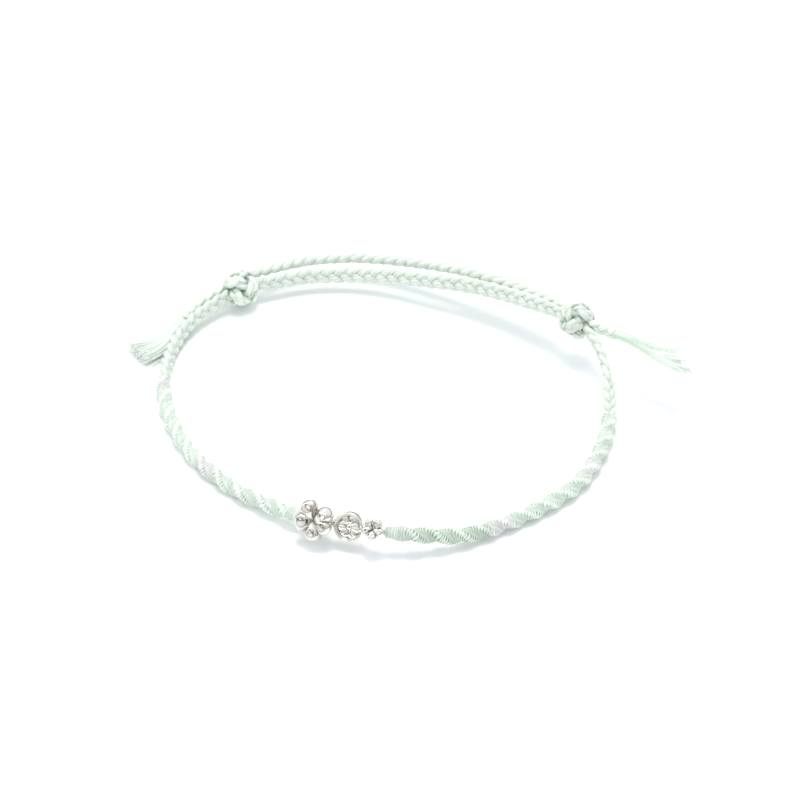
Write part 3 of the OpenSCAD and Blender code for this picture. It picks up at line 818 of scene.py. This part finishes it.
def lock_body(skins, run, width, lock, fan, root_r, tip_r, deep, rng, seed):
    """The round body of a lock, with fine grooves along it.

    Its radius goes evenly from root to tip, less 0.7 t^9 of it, and its end is cut aslant: a point goes back
    by 0.9 t^8 of its height over the lock's middle.
    """
    place, lift, share, full = lock
    angle = around(48)[None, :]
    t = np.linspace(0, 1, 50)[:, None]
    s = run.length * share * (0.02 + 0.93 * t[:, 0])
    path, side, _ = lock_path(run, s, width, place, lift, fan)
    turns = BODY_THREADS * angle / TAU + wander(t[:, 0], seed, 0.5, 0.8)[:, None]
    r = (root_r + (tip_r - root_r) * t) * (0.7 + 0.25 * full) * (1 - 0.7 * t ** 9)
    path[:, 2] = np.maximum(path[:, 2], r[:, 0] + FLOOR_GAP)
    tint = rng.uniform(0.97, 1.04, BODY_TINTS)[np.floor(turns).astype(int) % BODY_TINTS]
    # Painted shade in the grooves, and a darker colour toward the root
    depth = np.clip(0.2 * seam(turns) + deep * np.exp(-ROOT_FADE * t), 0, 1)
    rings = tube(path, side, r * (1 - 0.1 * (1 - thread_round(turns))))
    ahead = unit(np.gradient(path, axis=0))
    skins.add(rings - (0.9 * r * t ** 8 * np.sin(angle))[..., None] * ahead[:, None], s, 3.0, depth, tint)


def loose_thread(skins, run, width, lock, fan, root_r, tip_r, deep, thread_r, rng):
    """One thread of a lock: it keeps its own spot of the lock's round section, with a slight wave."""
    place, lift, share, full = lock
    spot = rng.uniform(0, TAU)
    far = math.sqrt(rng.uniform(0.45, 1.3 - 0.24 * full))
    long = share * (rng.uniform(0.955, 0.99) - 0.02 * math.sin(spot))
    t = np.linspace(0, 1, 20)
    s = run.length * long * (0.02 + 0.98 * t)
    path, side, up = lock_path(run, s, width, place, lift, fan)
    r = far * (root_r + (tip_r * (2.2 - 1.2 * full) - root_r) * t)
    wave = 0.06 * t * np.sin(TAU * (t * rng.uniform(0.6, 1.6) + rng.uniform(0, 1)))
    path = path + (r * math.cos(spot) + wave)[:, None] * side + (r * math.sin(spot))[:, None] * up
    path[:, 2] = np.maximum(path[:, 2], thread_r + FLOOR_GAP)
    reach = np.full((len(t), 5), thread_r) * (1 - 0.25 * t[:, None] ** 6)
    depth = np.clip(deep * np.exp(-ROOT_FADE * t) * (0.2 + 0.6 * rng.uniform()), 0, 1)[:, None]
    skins.add(tube(path, side, reach), s, 0.5, depth, rng.uniform(0.99, 1.05))


def tassel_head(skins, run, head_r):
    """The gathered root of a tassel, with twisted grooves. Its radius shrinks by 0.3 t^2."""
    t = np.linspace(0, 1, 30)
    s = 0.02 + run.length * 0.26 * t
    turns = 11 * around(48)[None, :] / TAU + 0.3 * s[:, None]
    reach = (head_r - 0.3 * t ** 2)[:, None] - 0.08 * (1 - thread_round(turns))
    # Painted shade in the twisted grooves, over a darker colour all over the head
    skins.add(swept(run, s, reach), s, 4.0, 0.3 * seam(turns) + 0.5, 1.0)


class BRACELET_OT_tassels(bpy.types.Operator):
    """Make the two tassels: loose silk that leaves a braid's end in locks."""

    bl_idname = "bracelet.tassels"
    bl_label = "Tassels"

    def execute(self, context):
        knot = context.scene.bracelet_knot
        for name, points, locks, fan, head_r, root_r, tip_r, deep, thread_r, seed in TASSELS:
            skins, run, rng = Skins(), Run(points), np.random.default_rng(seed)
            width = getattr(knot, name + "_tassel_w") / MM
            for lock in locks:
                if lock[-1] > BODY_FULL:
                    lock_body(skins, run, width, lock, fan, root_r, tip_r, deep, rng, seed + 40)
                for _ in range(int(knot.fibres * lock[-1])):
                    loose_thread(skins, run, width, lock, fan, root_r, tip_r, deep, thread_r, rng)
            tassel_head(skins, run, head_r)
            skins.piece("tassel_" + name + "_threads", silk("loose"), "tassel_" + name, "mint_silk")
        return {"FINISHED"}


# Beads

# Place along the route and tilt of each bead, and how far its flower or star stands to the front
FLOWER = FLOWER_S, 32
FLOWER_FRONT = 1.45
MEDALLION = MEDAL_S, 24
STAR = STAR_S, 42
STAR_FRONT = 0.85
# Each petal: angle in degrees, length share, width share, depth of the dent in mm, and width over height
PETALS = [(126, 1.03, 1, 0.16, 1.25), (37, 0.98, 0.98, 0.34, 1.12), (-24, 0.9, 0.95, 0.14, 1.08),
          (-87, 0.95, 0.98, 0.2, 1.12), (194, 0.98, 1.02, 0.18, 1.28)]
# Turn of each petal about its own width and of the medallion about its width, in degrees
PETAL_TILT = -4
MEDAL_TURN = 5
# The star's points: number, angle of the first, tilt, width over height, and depth of the dent
STAR_POINTS = 5
STAR_TURN = 56
POINT_TILT = -8
POINT_WIDE = 1.12
POINT_DENT = 0.06
# How far from the middle the recesses between petals, and those between points, are painted dark with shade
PETAL_DARK_L = 1.95
POINT_DARK_L = 1.05
# Length and radius of the flower's tube, the star's tube and the medallion's collars
FLOWER_TUBE = 2.4, 0.76
STAR_TUBE = 1.5, 0.7
COLLAR = 0.6, 0.62
# How far the middle of a collar lies inside the medallion's edge
COLLAR_IN = 0.1
# Radius of the small ball amid the petals or points, and of the one that joins the petals to the tube
HUB_R = 0.42
JOINT_R = 0.5
JOINT_SQUASH = 1.1
# Powers that give a drop's section, and a tube's wall, their shape between round and square
DROP_POWER = 2.7
WALL_POWER = 0.45


def on_thread(points, s, tilt, front=0.0):
    """Carries points from a bead's own axes to the thread at s.

    x runs along the thread, z looks out of the loop and up by tilt, and the bead is moved to the front.
    """
    ahead, side, up = (v[0] for v in MAIN.axes(np.array([s])))
    tilt = math.radians(tilt)
    z = -math.cos(tilt) * side + math.sin(tilt) * up
    y = np.cross(z, ahead)
    place = MAIN.at(np.array([s]))[0] + front * z
    return place + points[..., :1] * ahead + points[..., 1:2] * y + points[..., 2:] * z


def turned(points, about_y, about_z):
    """Points turned about y, then about z, in degrees."""
    a, b = math.radians(about_y), math.radians(about_z)
    x, y, z = points[..., 0], points[..., 1], points[..., 2]
    x, z = x * math.cos(a) + z * math.sin(a), -x * math.sin(a) + z * math.cos(a)
    return np.stack([x * math.cos(b) - y * math.sin(b), x * math.sin(b) + y * math.cos(b), z], axis=-1)


def drop_rings(long, r, root_r, wide, dish, seed, sides=48):
    """A drop along x: a cone from its root that turns into a ball of radius r at its far end, made wider.

    Its section is a little squarer than a circle: the radius is r / (|cos|^p + |sin|^p)^(1/p), where p is
    DROP_POWER. Its face is pressed in round the ball's middle by dish times a bell curve, with a low rim
    round the dent, and its radius swells and shrinks by a few hundredths, as on a hand-finished casting.
    """
    a = np.radians(np.linspace(-20, 88, 32))
    neck = long - r + r * math.sin(a[0])
    x = np.concatenate([np.linspace(0, neck, 16)[:-1], long - r + r * np.sin(a)])
    radius = np.concatenate([np.linspace(root_r, r * math.cos(a[0]), 16)[:-1], r * np.cos(a)])
    angle = around(sides)[None, :]
    uneven = 1 + wander(x[:, None] * 0.9 + 0.55 * np.cos(angle - 1.1), seed, 0.045, 2.2)
    squarer = (np.abs(np.cos(angle)) ** DROP_POWER + np.abs(np.sin(angle)) ** DROP_POWER) ** (-1 / DROP_POWER)
    radius = radius[:, None] * uneven * squarer
    y, z = wide * radius * np.cos(angle), radius * np.sin(angle)
    far = np.sqrt((x[:, None] - long + 1.05 * r) ** 2 + y ** 2) / r
    dent = bell(far, 0, 0.42) - 0.35 * bell(far, 0.68, 0.15)
    z = z - dish * dent * np.clip(2 * z / r, 0, 1)
    return np.stack([np.broadcast_to(x[:, None], radius.shape), y, z], axis=-1)


def drop_depth(rings, far):
    """Painted shade in a drop's recesses: full at its root, and fading by far along its flanks.

    It is flank^1.5 times 1.25 - x / far, plus 1 - x / (0.35 far), where flank is |y| over the root of
    y^2 + z^2 and both factors stay between 0 and 1.
    """
    x, y, z = rings[..., 0], rings[..., 1], rings[..., 2]
    flank = np.abs(y) / np.sqrt(y ** 2 + z ** 2 + 1e-6)
    return np.clip(1.25 - x / far, 0, 1) * flank ** 1.5 + np.clip(1 - x / (0.35 * far), 0, 1)


def barrel_rings(long, r, bore_r, place=0.0):
    """A short tube along x with a bore and rounded ends: the closed section of its wall, turned round x.

    The section is a squared circle: each way it reaches by cos or sin with its size to the power of
    WALL_POWER.
    """
    phi = around(36)
    across, out = (np.sign(wave) * np.abs(wave) ** WALL_POWER for wave in (np.cos(phi), np.sin(phi)))
    x = place + long / 2 * across
    radius = (r + bore_r) / 2 + (r - bore_r) / 2 * out
    angle = around(40)[:, None]
    return np.stack([np.broadcast_to(x, (40, 36)), radius * np.cos(angle), radius * np.sin(angle)], axis=-1)


def ball_rings(r, squash=1.0):
    """A ball from its lower to its upper pole, its height scaled by squash."""
    lats = np.radians(np.linspace(-86, 86, 20))[:, None]
    angle = around(28)[None, :]
    return r * np.stack([np.cos(lats) * np.cos(angle), np.cos(lats) * np.sin(angle),
                         np.sin(lats) * squash * np.ones_like(angle)], axis=-1)


class BRACELET_OT_flower_bead(bpy.types.Operator):
    """Make the flower bead: five cast petals round a small middle, on a short tube."""

    bl_idname = "bracelet.flower_bead"
    bl_label = "Flower bead"

    def execute(self, context):
        bead = context.scene.bracelet_bead
        skins = Skins()
        for i, (angle, long, wide, dish, broad) in enumerate(PETALS):
            petal = drop_rings(bead.petal_l / MM * long, bead.petal_r / MM * wide, bead.petal_root_r / MM,
                               broad, dish, 400 + i)
            skins.add(on_thread(turned(petal, PETAL_TILT, angle), *FLOWER, FLOWER_FRONT),
                      depth=drop_depth(petal, PETAL_DARK_L))
        # The hub is painted fully dark, as the shade in the flower's middle; the joint behind the petals gets
        # 0.6 of it
        skins.add(on_thread(ball_rings(HUB_R), *FLOWER, FLOWER_FRONT), depth=1.0)
        tube_rings = barrel_rings(*FLOWER_TUBE, bead.bore_r / MM)
        skins.add(on_thread(tube_rings, *FLOWER), depth=0.1, looped=True)
        skins.add(on_thread(ball_rings(JOINT_R, JOINT_SQUASH), *FLOWER, FLOWER_FRONT / 2), depth=0.6)
        skins.piece("flower_bead_casting", silver(), "flower_bead", "silver")
        return {"FINISHED"}


# The medallion's field lies this far below its rim, and its rim's middle this far inside its edge
FIELD_SUNK = 0.3
RIM_IN = 0.13
INNER_RIM_IN = 0.37
LEAVES = 6
LEAF_AT = 0.9


def medal_face(radius, angle, half_t, edge_r):
    """Height of the medallion's face: a flat field, six uneven leaves, a boss and two raised rims.

    Leaf and boss are half ellipsoids, root of 1 - d^2 with d the distance from their middle. Each leaf has
    a shallow vein, which takes away a bell curve across its middle line.
    """
    leaf = 0
    for i, (long, wide) in enumerate(np.random.default_rng(430).uniform(0.88, 1.12, (LEAVES, 2))):
        aside = radius * ((angle - TAU * i / LEAVES + math.pi) % TAU - math.pi)
        away2 = ((radius - LEAF_AT) / (0.56 * long)) ** 2 + (aside / ((0.14 + 0.43 * radius) * wide)) ** 2
        leaf = np.maximum(leaf, dome(away2) * (1 - 0.3 * bell(aside, 0, 0.08)))
    boss = dome((radius / 0.34) ** 2)
    rim = dome(((radius - edge_r + RIM_IN) / 0.16) ** 2)
    inner_rim = dome(((radius - edge_r + INNER_RIM_IN) / 0.07) ** 2)
    return half_t - FIELD_SUNK + np.maximum.reduce([0.13 * leaf, 0.2 * boss, 0.3 * rim, 0.12 * inner_rim])


class BRACELET_OT_medallion_bead(bpy.types.Operator):
    """Make the medallion bead: a coin with a raised rim, a rosette on each face and a collar each side."""

    bl_idname = "bracelet.medallion_bead"
    bl_label = "Medallion bead"

    def execute(self, context):
        bead = context.scene.bracelet_bead
        edge_r, half_t = bead.medal_d / MM / 2, bead.medal_t / MM / 2
        angle = around(128)[None, :]
        # rings go out over the back face and in again over the front
        out = np.append(np.linspace(0.03, edge_r - 0.02, 72), edge_r)[:, None] + 0 * angle
        radius = np.vstack([out, out[::-1]])
        height = np.vstack([-medal_face(out, -angle, half_t, edge_r),
                            medal_face(out[::-1], angle, half_t, edge_r)])
        coin = np.stack([radius * np.cos(angle), radius * np.sin(angle), height], axis=-1)
        # Painted shade in the sunken field between the leaves, kept off near the rim
        depth = 0.45 * np.clip(1 - (np.abs(height) - half_t + FIELD_SUNK) / 0.06, 0, 1)
        depth[radius > edge_r - 0.3] = 0
        skins = Skins()
        skins.add(on_thread(turned(coin, MEDAL_TURN, 0), *MEDALLION), depth=depth)
        for side in (-1, 1):
            collar = barrel_rings(*COLLAR, bead.bore_r / MM, side * (edge_r - COLLAR_IN))
            skins.add(on_thread(collar, *MEDALLION), depth=0.1, looped=True)
        skins.piece("medallion_bead_casting", silver(), "medallion_bead", "silver")
        return {"FINISHED"}


class BRACELET_OT_star_bead(bpy.types.Operator):
    """Make the star bead: five small points on a short tube."""

    bl_idname = "bracelet.star_bead"
    bl_label = "Star bead"

    def execute(self, context):
        bead = context.scene.bracelet_bead
        skins = Skins()
        for i in range(STAR_POINTS):
            point = drop_rings(bead.star_l / MM, bead.star_r / MM, bead.star_root_r / MM, POINT_WIDE,
                               POINT_DENT, 420 + i, 32)
            point_turn = STAR_TURN + 360 / STAR_POINTS * i
            skins.add(on_thread(turned(point, POINT_TILT, point_turn), *STAR, STAR_FRONT),
                      depth=drop_depth(point, POINT_DARK_L))
        # The hub is painted fully dark, as the shade between the star's points
        skins.add(on_thread(ball_rings(HUB_R), *STAR, STAR_FRONT), depth=1.0)
        tube_rings = barrel_rings(*STAR_TUBE, bead.bore_r / MM)
        skins.add(on_thread(tube_rings, *STAR), depth=0.1, looped=True)
        skins.piece("star_bead_casting", silver(), "star_bead", "silver")
        return {"FINISHED"}


# The twisted thread: its radius, the depth of its grooves, its threads and the distance between them
BEAD_CORD_R = 0.34
BEAD_CORD_GROOVE = 0.1
BEAD_CORD_THREADS = 3
BEAD_CORD_LAY = 1.6


class BRACELET_OT_bead_cord(bpy.types.Operator):
    """Make the twisted thread that the beads are threaded on.

    Its threads wind round each other, and its reach is its radius less the groove between them.
    """

    bl_idname = "bracelet.bead_cord"
    bl_label = "Bead cord"

    def execute(self, context):
        s = np.linspace(LEFT_WRAP_END_S + GAP / 2, RIGHT_WRAP_START_S - GAP / 2, 200)
        turns = BEAD_CORD_THREADS * around(24)[None, :] / TAU + s[:, None] / BEAD_CORD_LAY
        hollow = 1 - thread_round(turns)
        skins = Skins()
        # The grooves between its threads are painted with shade
        skins.add(swept(MAIN, s, BEAD_CORD_R - BEAD_CORD_GROOVE * hollow), s, 2.1, 0.6 * hollow)
        skins.piece("bead_cord_thread", silk("mint"), "bead_cord", "mint_silk")
        return {"FINISHED"}


# Stage

CAMERA_AT = Vector((-2.3, -309.5, 225.4))
CAMERA_TO = Vector((-2.3, -2.1, 2.0))
LENS = 131.67
SHIFT_X = 0.015
SHIFT_Y = 0.005
# Half of the floor's width, in metres
FLOOR_HALF = 6.0
# Name, place in millimetres, width in metres and share of the overhead light's power
LIGHTS = (("overhead", (0, 90, 520), 0.2, 1.0), ("side", (-420, 40, 300), 0.25, 0.2))
# Direction from the bracelet to the middle of the tent's opening, and cosines to its edge, out and in
OPENING = Vector((0.05, -0.78, 0.62))
OPENING_EDGE = 0.945, 0.965
# Colour of the tent as light on silk and paper
TENT = (0.90, 0.935, 0.98, 1)
# Height of a place in the reflected tent, from level to straight up, and its colour
WALLS = ((0.04, (0.08, 0.0776, 0.0736, 1)), (0.13, (0.1, 0.097, 0.092, 1)), (0.24, (0.66, 0.6402, 0.6072, 1)))
TENT_FOOT = (0.40, 0.38, 0.35, 1)
TENT_TOP = (0.915, 0.95, 1, 1)
TENT_TOP_AT = 0.7


def pale_room(strength):
    """A white tent round the bracelet, whose reflection has a dark band low down and a dark opening.

    The band and the opening give the silver something dark to show beside the white. The light that falls
    on the silk and on the paper comes evenly from the whole tent.
    """
    world = bpy.data.worlds.new("pale_room")
    world.use_nodes = True
    tree = world.node_tree
    direction = add_node(tree, "ShaderNodeTexCoord").outputs["Generated"]
    height = add_node(tree, "ShaderNodeSeparateXYZ", Vector=direction).outputs["Z"]
    walls = add_node(tree, "ShaderNodeValToRGB", Fac=height)
    ramp = walls.color_ramp
    ramp.elements[0].position, ramp.elements[0].color = 0.0, TENT_FOOT
    ramp.elements[1].position, ramp.elements[1].color = TENT_TOP_AT, TENT_TOP
    for position, colour in WALLS:
        ramp.elements.new(position).color = colour
    toward = add_node(tree, "ShaderNodeVectorMath", (("operation", "DOT_PRODUCT"),), Vector=direction)
    toward.inputs[1].default_value = OPENING.normalized()
    opening = add_node(tree, "ShaderNodeMapRange", Value=toward.outputs["Value"], From_Min=OPENING_EDGE[0],
                       From_Max=OPENING_EDGE[1], To_Min=1.0, To_Max=0.06)
    tent = add_node(tree, "ShaderNodeVectorMath", (("operation", "SCALE"),), Vector=walls.outputs["Color"],
                    Scale=opening.outputs["Result"])
    reflected = add_node(tree, "ShaderNodeLightPath").outputs["Is Glossy Ray"]
    seen = colour_mix(tree, "MIX", reflected, TENT, tent.outputs["Vector"])
    feed(tree, tree.nodes["Background"], Color=seen, Strength=strength)
    return world


class BRACELET_OT_stage(bpy.types.Operator):
    """Make the floor, the soft studio light and the camera."""

    bl_idname = "bracelet.stage"
    bl_label = "Floor, light and camera"

    def execute(self, context):
        scene = context.scene
        stage = scene.bracelet_stage
        camera = bpy.data.objects.new("camera", bpy.data.cameras.new("camera"))
        scene.collection.objects.link(camera)
        camera.location = CAMERA_AT * MM
        camera.rotation_euler = (CAMERA_TO - CAMERA_AT).to_track_quat("-Z", "Y").to_euler()
        camera.data.sensor_width = 36
        camera.data.lens = LENS
        camera.data.shift_x, camera.data.shift_y = SHIFT_X, SHIFT_Y
        camera.data.clip_start, camera.data.clip_end = 0.01, 20
        scene.camera = camera
        sheet = bpy.data.meshes.new("floor")
        corners = [(x * FLOOR_HALF, y * FLOOR_HALF, 0) for x, y in ((-1, -1), (1, -1), (1, 1), (-1, 1))]
        sheet.from_pydata(corners, [], [(0, 1, 2, 3)])
        floor = bpy.data.objects.new("floor", sheet)
        scene.collection.objects.link(floor)
        paper, tree, shader = new_material("floor_paper")
        feed(tree, shader, Base_Color=(*stage.floor, 1), Roughness=0.9, Specular_IOR_Level=0.1)
        floor.data.materials.append(paper)
        for name, place, size, power in LIGHTS:
            light = bpy.data.lights.new(name, "AREA")
            light.energy = stage.overhead * power
            light.color = (1, 0.98, 0.94)
            light.shape = "SQUARE"
            light.size = size
            lamp = bpy.data.objects.new(name, light)
            lamp.location = Vector(place) * MM
            lamp.rotation_euler = (-lamp.location).to_track_quat("-Z", "Y").to_euler()
            scene.collection.objects.link(lamp)
        scene.world = pale_room(stage.surround)
        scene.view_settings.view_transform = "Standard"
        scene.cycles.diffuse_bounces = 8
        return {"FINISHED"}


class BRACELET_PT_panel(bpy.types.Panel):
    """Lists the bracelet's settings and the steps that make it."""

    bl_idname = "BRACELET_PT_panel"
    bl_label = "Wish bracelet"
    bl_space_type = "VIEW_3D"
    bl_region_type = "UI"
    bl_category = "Bracelet"

    def draw(self, context):
        for settings in SETTINGS:
            box = self.layout.box()
            group = getattr(context.scene, settings)
            for key in group.__annotations__:
                box.prop(group, key)
        for operator in STEPS:
            self.layout.operator(operator.bl_idname)


SETTINGS = {
    "bracelet_finish": BraceletFinish, "knotted_cord": KnottedCordSettings, "bracelet_braid": BraidSettings,
    "bracelet_knot": KnotSettings, "bracelet_bead": BeadSettings, "bracelet_stage": StageSettings}
STEPS = (
    BRACELET_OT_stage, BRACELET_OT_knotted_cord, BRACELET_OT_braids, BRACELET_OT_tail_braids,
    BRACELET_OT_sliding_knots, BRACELET_OT_tassels, BRACELET_OT_bead_cord, BRACELET_OT_flower_bead,
    BRACELET_OT_medallion_bead, BRACELET_OT_star_bead)


def register():
    """Registers the settings, the steps and the panel."""
    for group in SETTINGS.values():
        bpy.utils.register_class(group)
    for key, group in SETTINGS.items():
        setattr(bpy.types.Scene, key, PointerProperty(type=group))
    for cls in (*STEPS, BRACELET_PT_panel):
        bpy.utils.register_class(cls)


def unregister():
    """Takes the panel, the steps and the settings out again."""
    for cls in reversed((*STEPS, BRACELET_PT_panel)):
        bpy.utils.unregister_class(cls)
    for key in SETTINGS:
        delattr(bpy.types.Scene, key)
    for group in reversed(SETTINGS.values()):
        bpy.utils.unregister_class(group)


def main():
    """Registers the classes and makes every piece."""
    kept = set(frame["nodes"].values()) | set(frame["bodies"].values())
    for thing in [o for o in bpy.data.objects if o not in kept]:
        bpy.data.objects.remove(thing)
    register()
    bpy.ops.bracelet.stage()
    bpy.ops.bracelet.knotted_cord()
    bpy.ops.bracelet.braids()
    bpy.ops.bracelet.tail_braids()
    bpy.ops.bracelet.sliding_knots()
    bpy.ops.bracelet.tassels()
    bpy.ops.bracelet.bead_cord()
    bpy.ops.bracelet.flower_bead()
    bpy.ops.bracelet.medallion_bead()
    bpy.ops.bracelet.star_bead()
    bpy.context.view_layer.update()


if __name__ == "__main__":
    main()
